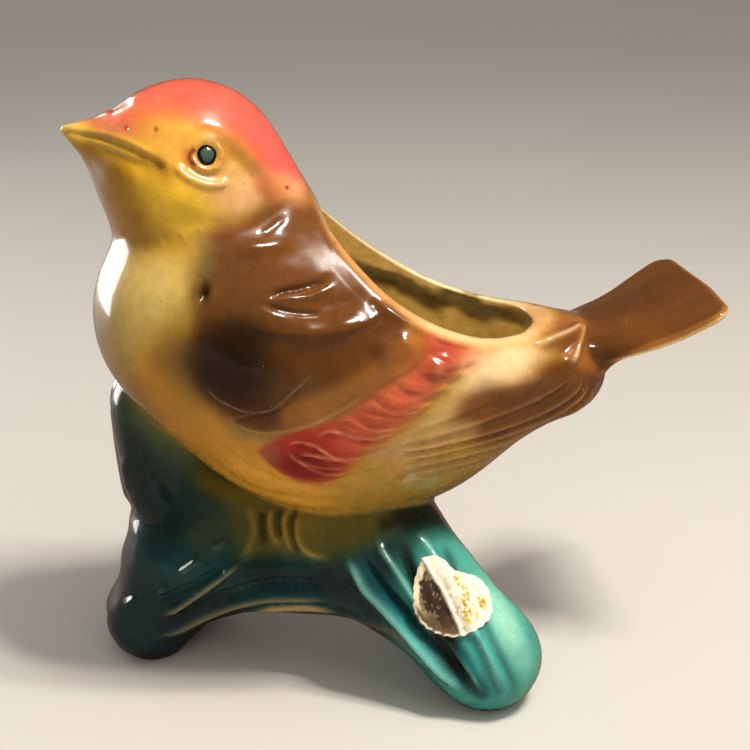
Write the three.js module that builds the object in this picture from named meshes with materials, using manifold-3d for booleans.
// Glazed ceramic songbird planter perched on a forked branch.
// Millimetres, +Z up. The head looks toward -X, the tail points toward +X,
// and the feet of the branch stand on the plane z = 0.
import * as THREE from 'three';
import { mergeVertices } from 'three/addons/utils/BufferGeometryUtils.js';
import Module from 'manifold-3d';

const wasm = await Module();
wasm.setup();

// ---------------------------------------------------------------- dimensions
const WALL = 3.4;          // cast wall of the bird
const BRANCH_WALL = 4.2;   // cast wall of the branch
const HOLLOW_END = 41;     // x of the hollow's back wall, ahead of the tail root
const GAP = 0.3;           // luting line between neighbouring pieces

// Ellipsoids; pitch, in degrees, raises the front end.
const CROWN = { centre: [-42.2, 0, 126], radii: [21.2, 18.6, 21.2] };
const BREAST = { centre: [-36.5, 0, 93], radii: [30, 28.6, 28.6] };
const BARREL = { centre: [-9, 0, 79.5], radii: [47, 31.8, 38], pitch: 14 };

// Round cones: axis start, axis end, radius at each, scale across y, and the
// width of the blend into the forms before.
const cone = ([start, end, startR, endR, yScale, blend]) =>
  ({ start, end, startR, endR, yScale, blend });
const BEAK = cone([[-51.5, 0, 130], [-69.3, 0, 136.4], 11.4, 1.2, 0.85, 5]);
const TORSO_CONES = [
  [[3, 11.5, 84.5], [47.5, 6.5, 74.2], 20, 7.6, 1, 9],   // wing
  [[6, 0, 74.5], [46, 0, 77], 24.5, 11.3, 1, 10],        // rump
  [[-34, 0, 102], [-40, 0, 120], 21.5, 19, 1, 8],        // front of the neck
  [[-23, 0, 100], [-30, 0, 118], 18.5, 14, 1, 8],        // back of the neck
].map(cone);
const LIMBS = [
  [[-51.5, 9, 40], [-53, 11, 66], 10.5, 12, 1],          // 0 stub under the breast
  [[-46, 7, 27], [-57.8, 6.5, 9.9], 13.5, 10.8, 1.2, 6], // 1 front leg
  [[-57.5, 6.5, 9.8], [-50, 18, 9.3], 10.8, 10.3, 1, 5], // 2 front foot
  [[-46, 6, 25.5], [0, -9, 29.5], 13.5, 15, 1, 10],      // 3 beam
  [[-44, 7, 40], [4, -7, 40], 9, 9, 1, 8],               // 4 saddle under the belly
  [[0, -11, 32], [23.6, -28.5, 11.6], 16, 12.3, 1, 6],   // 5 rear leg
  [[23, -28, 11.6], [16, -8, 9.3], 12.3, 10, 1, 5],      // 6 rear foot
].map(cone);
// Blanks that are draped into the branch: the limbs each one covers, spine
// start, spine end, then its radial, length and cap segments.
const BRANCH_BLANKS = [
  [[0], [-51.5, 9, 38], [-53, 11, 66], 18, 4, 4],
  [[1], [-47, 7, 26], [-57.5, 6.5, 10.5], 20, 3, 5],
  [[2], [-57, 7.5, 9.8], [-50, 18, 9.3], 18, 2, 5],
  [[3, 4], [-42, 6, 31], [0, -8, 34], 22, 6, 5],
  [[5], [0, -11, 32], [23.6, -28.5, 11.6], 20, 5, 5],
  [[6], [22, -25, 11.4], [16, -8, 9.3], 18, 2, 5],
];

const TAIL = {
  rootX: 46, rootZ: 81.2, pitch: 21, length: 36.6,
  rootHalf: 10.5, tipHalf: 24, flareLength: 37, maxFlare: 1.2,     // half widths
  tipThick: 1.7, rootExtra: 2.6, thickEnd: 22, thickSpan: 24,      // half thicknesses
  edgeThin: 0.9,                                                   // taken off at the edges
  archCurve: 0.012, archLength: 34,                                // droop of the sides
  cornerDepth: 7, cornerStart: 0.72, cornerRound: 0.9,             // tip corners in plan
};
// Rim line of the opening: parabolic ahead of flat, gently sloped behind it,
// with an extra curve past rear and a steeper one ahead of front.
const MOUTH = {
  low: 88.9, rise: 26.7, flat: 34, slope: 0.12,
  rear: 41, rearCurve: 0.03,
  front: -12, frontSlope: 0.8, frontCurve: 0.06,
};
const SCOOP = { x0: -23, x1: 62, step: 2.5, top: 175, width: 110 };
const EYE = { at: [-38.7, 17.32, 133.25], normal: [0.133, 0.926, 0.354],
  radius: 2.15, halfDepth: 1.1, lift: 0.2 };
const LABEL = { at: [14.24, -31.14, 29.91], normal: [0.122, -0.773, 0.623],
  rings: [0, 2.4, 4.8, 7.2, 9.5], thickness: 0.35 };
const VENT = { x: -20, y: -3, radius: 3.2, z0: 4, z1: 30 };

const BLANK_RADIUS = 4;
const MARCH_STEP = 0.4;    // step of the search for a skin along a ray
const DIP = 0.4;           // how fast a blank sinks where its neighbour takes over

// ---------------------------------------------------------- implicit surfaces
// Each form is a signed distance: negative inside the clay, zero on its skin.
function ellipsoid(p, { centre, radii, pitch = 0 }) {
  const [dx, y, dz] = p.map((value, i) => value - centre[i]);
  const angle = (pitch * Math.PI) / 180;
  const cos = Math.cos(angle);
  const sin = Math.sin(angle);
  const x = dx * cos - dz * sin;
  const z = dx * sin + dz * cos;
  const [rx, ry, rz] = radii;
  const scaled = Math.hypot(x / rx, y / ry, z / rz) + 1e-9;
  const gradient = Math.hypot(x / (rx * rx), y / (ry * ry), z / (rz * rz)) + 1e-9;
  return (scaled * (scaled - 1)) / gradient;
}

// A cone with spherical ends. The three cases are nearest the end sphere, the
// start sphere and the flank.
function roundCone(p, { start, end, startR, endR, yScale }) {
  const axisX = end[0] - start[0];
  const axisY = end[1] / yScale - start[1] / yScale;
  const axisZ = end[2] - start[2];
  const qx = p[0] - start[0];
  const qy = p[1] / yScale - start[1] / yScale;
  const qz = p[2] - start[2];
  const length2 = axisX * axisX + axisY * axisY + axisZ * axisZ;
  const taper = startR - endR;
  const flank2 = length2 - taper * taper;
  const inverse = 1 / length2;
  const along = qx * axisX + qy * axisY + qz * axisZ;
  const past = along - length2;
  const ex = qx * length2 - axisX * along;
  const ey = qy * length2 - axisY * along;
  const ez = qz * length2 - axisZ * along;
  const across2 = ex * ex + ey * ey + ez * ez;
  const along2 = along * along * length2;
  const past2 = past * past * length2;
  const limit = Math.sign(taper) * taper * taper * across2;
  let distance;
  if (Math.sign(past) * flank2 * past2 > limit) {
    distance = Math.sqrt(across2 + past2) * inverse - endR;
  } else if (Math.sign(along) * flank2 * along2 < limit) {
    distance = Math.sqrt(across2 + along2) * inverse - startR;
  } else {
    distance = (Math.sqrt(across2 * flank2 * inverse) + along * taper) * inverse - startR;
  }
  return distance * Math.min(1, yScale);
}

// Union and intersection with a fillet of the given width.
function smoothMin(a, b, width) {
  const overlap = Math.max(width - Math.abs(a - b), 0) / width;
  return Math.min(a, b) - (overlap * overlap * width) / 4;
}
const smoothMax = (a, b, width) => -smoothMin(-a, -b, width);
const blendCones = (p, distance, cones) =>
  cones.reduce((d, item) => smoothMin(d, roundCone(p, item), item.blend), distance);

function torso([x, y, z]) {
  const p = [x, Math.abs(y), z];   // one wing serves both sides
  const body = smoothMin(ellipsoid(p, BARREL), ellipsoid(p, BREAST), 9);
  return blendCones(p, body, TORSO_CONES);
}
const head = (p) => blendCones(p, ellipsoid(p, CROWN), [BEAK]);
const bird = (p) => smoothMin(torso(p), head(p), 4);
// The inside of the casting follows the outside and stops short of the tail root.
const birdHollow = (p) => smoothMax(bird(p) + WALL, p[0] - HOLLOW_END, 5);

const branch = (p) => blendCones(p, roundCone(p, LIMBS[0]), LIMBS.slice(1));
function branchHollow(p) {
  const clearOfBird = smoothMax(branch(p), -bird(p), 3);
  return smoothMax(clearOfBird + BRANCH_WALL, BRANCH_WALL - p[2], 2);
}

// ------------------------------------------------------------------- builders
// Bisects between a distance that is inside and one that is outside.
function lastInside(inside, low, high, rounds) {
  for (let n = 0; n < rounds; n++) {
    const middle = (low + high) / 2;
    if (inside(middle)) low = middle;
    else high = middle;
  }
  return low;
}

// Moves every vertex of a round blank along its own ray from the blank's
// spine (a point or a segment) until it lies on the skin of the form.
function drape(geometry, start, end, form, reach) {
  const pos = geometry.attributes.position;
  const origin = new THREE.Vector3(...start);
  const spine = new THREE.Vector3(...end).sub(origin);
  const length2 = spine.lengthSq();
  const vertex = new THREE.Vector3();
  const from = new THREE.Vector3();
  const ray = new THREE.Vector3();
  const inside = (t) => form([from.x + ray.x * t, from.y + ray.y * t, from.z + ray.z * t]) < 0;
  for (let i = 0; i < pos.count; i++) {
    vertex.fromBufferAttribute(pos, i);
    const share = length2 > 0
      ? THREE.MathUtils.clamp(vertex.clone().sub(origin).dot(spine) / length2, 0, 1)
      : 0;
    from.copy(origin).addScaledVector(spine, share);
    ray.copy(vertex).sub(from).normalize();
    let low = 0;
    let high = MARCH_STEP;
    while (high < reach && inside(high)) {
      low = high;
      high += MARCH_STEP;
    }
    const t = lastInside(inside, low, high, 24);
    pos.setXYZ(i, from.x + ray.x * t, from.y + ray.y * t, from.z + ray.z * t);
  }
  return geometry;
}

const turnFromY = (direction) => new THREE.Quaternion().setFromUnitVectors(
  new THREE.Vector3(0, 1, 0), new THREE.Vector3(...direction).normalize());
const aligned = (geometry, direction, place) =>
  geometry.applyQuaternion(turnFromY(direction)).translate(...place);

// A capsule blank around a segment, draped on a form.
function drapedCapsule(start, end, form, radial, steps, caps) {
  const axis = end.map((value, i) => value - start[i]);
  const middle = end.map((value, i) => (start[i] + value) / 2);
  const blank = new THREE.CapsuleGeometry(BLANK_RADIUS, Math.hypot(...axis), caps, radial, steps);
  return drape(aligned(blank, axis, middle), start, end, form, 70);
}
// A sphere blank around a point, its pole aimed along a direction.
function drapedBall(centre, direction, form, around, poleToPole) {
  const blank = new THREE.SphereGeometry(BLANK_RADIUS, around, poleToPole);
  return drape(aligned(blank, direction, centre), centre, centre, form, 60);
}

function solid(geometry) {
  for (const key of Object.keys(geometry.attributes)) {
    if (key !== 'position') geometry.deleteAttribute(key);
  }
  const merged = mergeVertices(geometry, 1e-4);
  const source = merged.index.array;
  const triangles = [];
  for (let i = 0; i < source.length; i += 3) {
    const [a, b, c] = source.slice(i, i + 3);
    if (a !== b && b !== c && c !== a) triangles.push(a, b, c);
  }
  return new wasm.Manifold(new wasm.Mesh({
    numProp: 3,
    vertProperties: new Float32Array(merged.attributes.position.array),
    triVerts: new Uint32Array(triangles),
  }));
}
const join = (geometries) => geometries.map(solid).reduce((a, b) => a.add(b));

function toGeometry(manifold) {
  const mesh = manifold.getMesh();
  const geometry = new THREE.BufferGeometry();
  geometry.setAttribute('position', new THREE.Float32BufferAttribute(mesh.vertProperties, 3));
  geometry.setIndex(Array.from(mesh.triVerts));
  geometry.computeVertexNormals();
  return geometry;
}

// ----------------------------------------------------------------------- bird
// Torso and head blanks share one skin; past the line where the other begins,
// each dips under it, so the two meet along a single curve.
function birdBody({ grow = 0, around = 38, steps = 10, form = bird, rearX = 38 }) {
  const skin = (own, other) => (p) => form(p) - grow + DIP * Math.max(0, own(p) - other(p));
  const beakWay = BEAK.end.map((value, i) => value - CROWN.centre[i]);
  return join([
    drapedCapsule([-32, 0, 90], [rearX, 0, 78], skin(torso, head),
      around, steps, Math.round(steps * 0.8)),
    drapedBall(CROWN.centre, beakWay, skin(head, torso),
      Math.round(around * 0.86), Math.round(around * 0.5)),
  ]);
}

// Height of the rim line over a station x.
function rimHeight(x) {
  const climb = Math.max(MOUTH.flat - x, 0) / (MOUTH.flat - MOUTH.front);
  const ahead = Math.max(MOUTH.front - x, 0);
  const behind = Math.max(x - MOUTH.rear, 0);
  return MOUTH.low + MOUTH.rise * climb * climb
    + MOUTH.slope * Math.max(x - MOUTH.flat, 0) + MOUTH.rearCurve * behind * behind
    + MOUTH.frontSlope * ahead + MOUTH.frontCurve * ahead * ahead;
}
// Everything above the rim line, as a bar across the back.
function scoop() {
  const shape = new THREE.Shape();
  shape.moveTo(SCOOP.x0, SCOOP.top);
  for (let x = SCOOP.x0; x <= SCOOP.x1; x += SCOOP.step) shape.lineTo(x, rimHeight(x));
  shape.lineTo(SCOOP.x1, SCOOP.top);
  shape.closePath();
  return new THREE.ExtrudeGeometry(shape, { depth: SCOOP.width, bevelEnabled: false })
    .rotateX(Math.PI / 2)
    .translate(0, SCOOP.width / 2, 0);
}

// The tail: a flat fan with rounded corners, thicker and gently arched at its root.
function tailFan(grow) {
  const { clamp, smoothstep } = THREE.MathUtils;
  const geometry = new THREE.BoxGeometry(1, 1, 1, 10, 14, 2);
  const pos = geometry.attributes.position;
  const pitch = (TAIL.pitch * Math.PI) / 180;
  const cos = Math.cos(pitch);
  const sin = Math.sin(pitch);
  for (let i = 0; i < pos.count; i++) {
    const share = pos.getX(i) + 0.5;               // 0 at the root, 1 at the tip
    const side = Math.sin(pos.getY(i) * Math.PI);  // -1 to 1 across the fan
    const layer = pos.getZ(i) * 2;                 // -1 below, 0 between, 1 above
    const corner = Math.max(0, (Math.abs(side) - TAIL.cornerStart) / (1 - TAIL.cornerStart));
    const drop = TAIL.cornerDepth * (1 - Math.sqrt(1 - corner ** 2 * TAIL.cornerRound));
    const along = -grow + (TAIL.length + grow + grow - drop) * share;
    const flare = clamp(along / TAIL.flareLength, 0, TAIL.maxFlare);
    const y = (TAIL.rootHalf + (TAIL.tipHalf - TAIL.rootHalf) * flare + grow) * side;
    const thicken = smoothstep(TAIL.thickEnd - along, 0, TAIL.thickSpan);
    const onEdge = share < 1e-6 || share > 1 - 1e-6 || Math.abs(side) > 1 - 1e-6;
    const half = TAIL.tipThick + TAIL.rootExtra * thicken + grow - (onEdge ? TAIL.edgeThin : 0);
    const arch = TAIL.archCurve * y * y * smoothstep(TAIL.archLength - along, 0, TAIL.archLength);
    const normal = layer * half - arch;
    pos.setXYZ(i,
      TAIL.rootX + along * cos - normal * sin, y, TAIL.rootZ + along * sin + normal * cos);
  }
  return geometry;
}

// A flattened dome on the side of the head; side is -1 for left, 1 for right.
function eyeBead(side, grow) {
  const mirrored = ([x, y, z]) => [x, side * y, z];
  const normal = mirrored(EYE.normal);
  const place = mirrored(EYE.at).map((value, i) => value + normal[i] * EYE.lift);
  const bead = new THREE.SphereGeometry(1, 16, 10)
    .scale(EYE.radius + grow, EYE.halfDepth + grow, EYE.radius + grow);
  return aligned(bead, normal, place);
}

const birdVessel = () => birdBody({})
  .subtract(birdBody({ around: 24, steps: 7, form: birdHollow, rearX: 30 }))
  .subtract(solid(scoop()))
  .subtract(solid(tailFan(GAP)))
  .subtract(solid(eyeBead(-1, GAP)))
  .subtract(solid(eyeBead(1, GAP)));

// --------------------------------------------------------------------- branch
// Each blank dips under the skin where a limb outside it is nearer.
function limbBlank([parts, start, end, radial, steps, caps]) {
  const own = LIMBS.filter((_, i) => parts.includes(i));
  const rest = LIMBS.filter((_, i) => !parts.includes(i));
  const nearest = (p, limbs) => Math.min(...limbs.map((limb) => roundCone(p, limb)));
  const form = (p) => branch(p) + DIP * Math.max(0, nearest(p, own) - nearest(p, rest));
  return drapedCapsule(start, end, form, radial, steps, caps);
}

function branchBase() {
  const belowGround = new THREE.BoxGeometry(300, 200, 60).translate(0, 0, -30);
  const hollow = drapedCapsule([-44, 5, 24], [4, -13, 26], branchHollow, 14, 6, 4);
  const vent = new THREE.CylinderGeometry(VENT.radius, VENT.radius, VENT.z1 - VENT.z0, 20)
    .rotateX(Math.PI / 2)
    .translate(VENT.x, VENT.y, (VENT.z0 + VENT.z1) / 2);
  return join(BRANCH_BLANKS.map(limbBlank))
    .subtract(birdBody({ grow: GAP }))
    .subtract(solid(belowGround))
    .subtract(solid(hollow))
    .subtract(solid(vent));
}

// The label: a thin round patch that follows the curve of the rear leg.
function labelPatch() {
  const ring = (height) => (radius) => new THREE.Vector2(radius, height);
  const profile = [
    ...LABEL.rings.map(ring(0)),
    ...[...LABEL.rings].reverse().map(ring(LABEL.thickness)),
  ];
  const geometry = new THREE.LatheGeometry(profile, 28);
  const pos = geometry.attributes.position;
  const normal = new THREE.Vector3(...LABEL.normal).normalize();
  const turn = turnFromY(LABEL.normal);
  const centre = new THREE.Vector3(...LABEL.at);
  for (let i = 0; i < pos.count; i++) {
    const lift = pos.getY(i) + GAP;
    const flat = new THREE.Vector3(pos.getX(i), 0, pos.getZ(i)).applyQuaternion(turn).add(centre);
    const moved = (t) => flat.clone().addScaledVector(normal, t).toArray();
    const t = lastInside((distance) => branch(moved(distance)) < lift, -25, 12, 30);
    pos.setXYZ(i, ...moved(t));
  }
  return geometry;
}

// ------------------------------------------------------------------- assembly
const part = new THREE.Group();
function add(name, manifold, finish) {
  const mesh = new THREE.Mesh(toGeometry(manifold), new THREE.MeshStandardMaterial(finish));
  mesh.name = name;
  part.add(mesh);
}
const EYE_GLAZE = { color: '#7f8f80', roughness: 0.1 };
add('bird_vessel', birdVessel(), { color: '#8a6a2c', roughness: 0.12 });
add('tail_fan', solid(tailFan(0)), { color: '#6d4522', roughness: 0.14 });
add('branch_base', branchBase(), { color: '#1d6a68', roughness: 0.12 });
add('left_eye', solid(eyeBead(-1, 0)), EYE_GLAZE);
add('right_eye', solid(eyeBead(1, 0)), EYE_GLAZE);
add('maker_label', solid(labelPatch()), { color: '#d8ceb4', roughness: 0.6 });

// The frame's origin is the centre of the object's footprint box, on the ground.
const box = new THREE.Box3().setFromObject(part);
part.position.set(-(box.min.x + box.max.x) / 2, -(box.min.y + box.max.y) / 2, 0);
part.updateMatrixWorld(true);

export default part;
